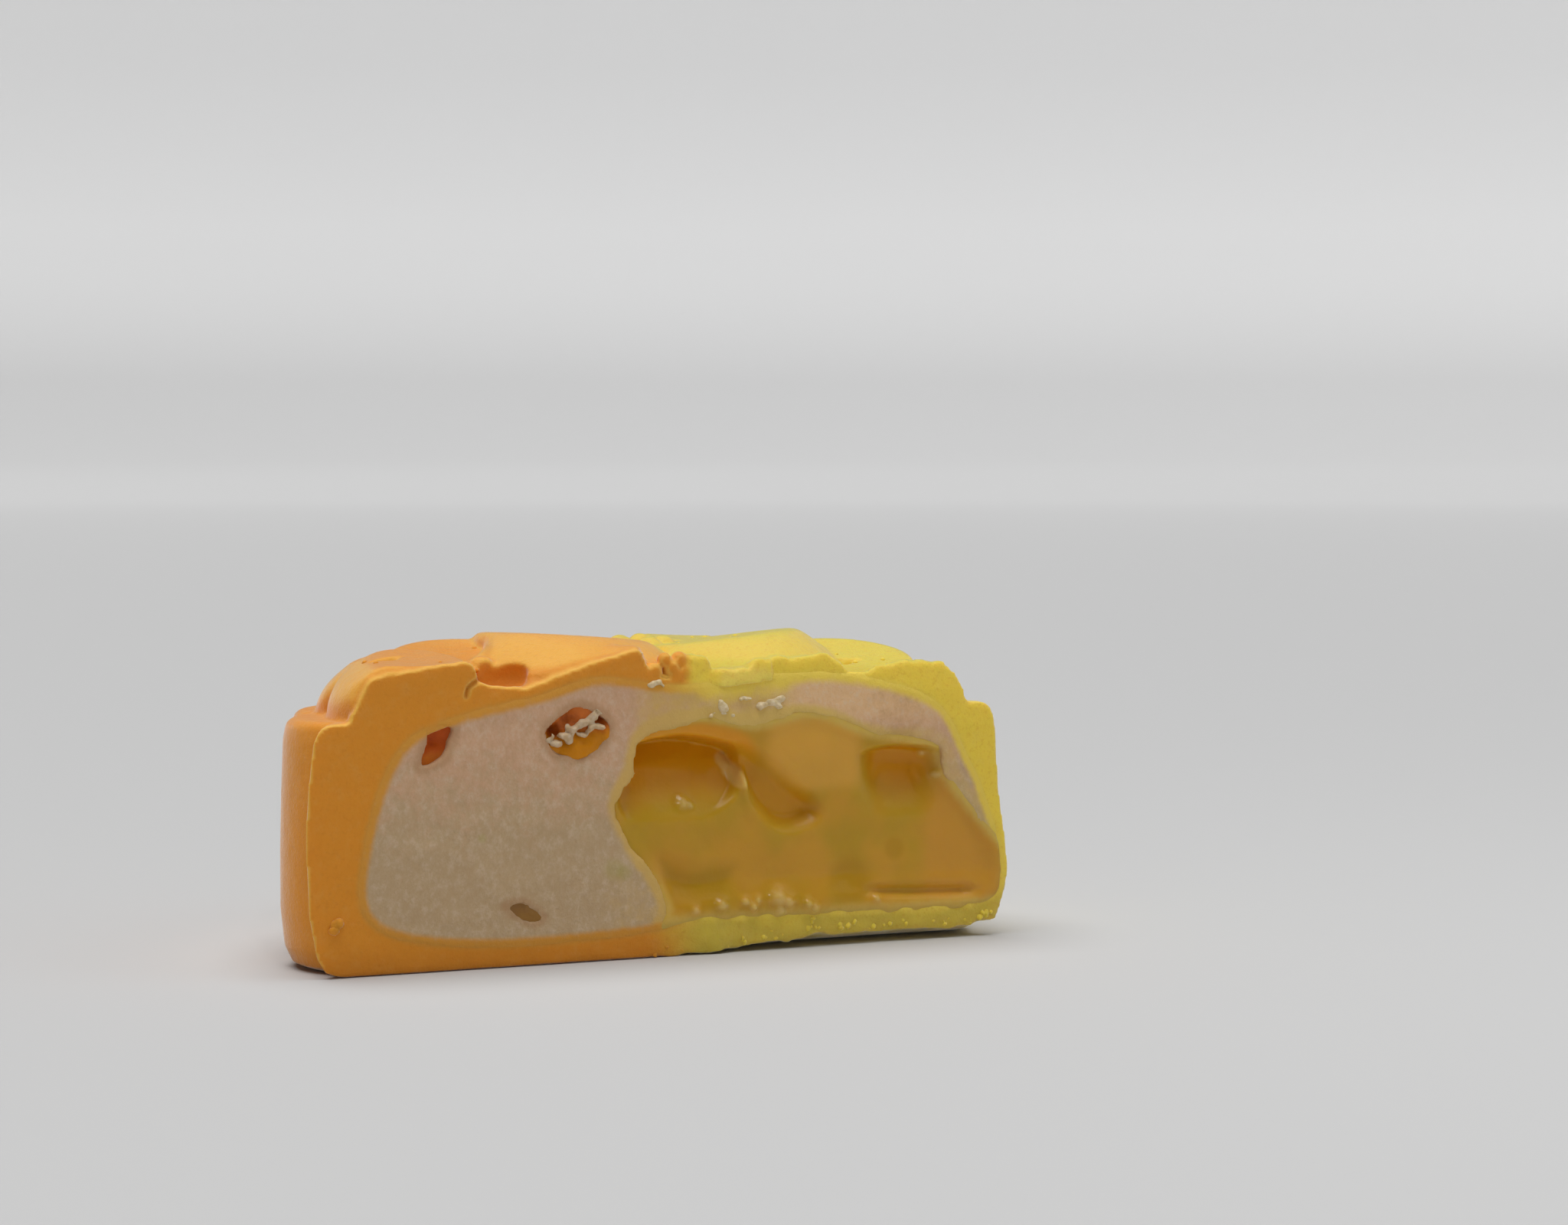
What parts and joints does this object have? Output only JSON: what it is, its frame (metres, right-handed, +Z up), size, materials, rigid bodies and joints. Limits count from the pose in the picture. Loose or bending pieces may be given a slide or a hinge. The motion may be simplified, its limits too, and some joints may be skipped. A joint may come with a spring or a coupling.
{
  "type": "mango pomelo mooncake half",
  "caption": "Cut half of a round scalloped snow-skin mooncake with moulded flowers, showing white paste, glossy mango custard and bits of fruit.",
  "frame": {"origin": "on the round cake's axis, in the flat base's plane", "axes": "+X along the cut from its orange end to its yellow end, +Y from the cut into the half, +Z up"},
  "size_m": [0.0786, 0.0417, 0.0334],
  "materials": {
    "skin": "soft matte",
    "paste": "matte",
    "custard": "wet gloss",
    "fruit": "moist"
  },
  "bodies": {
    "root": {"snow_skin": "skin", "white_paste": "paste", "mango_custard": "custard", "mango_strip": "fruit", "mango_chunk": "fruit", "fruit_peel": "fruit"}
  },
  "joints": []
}
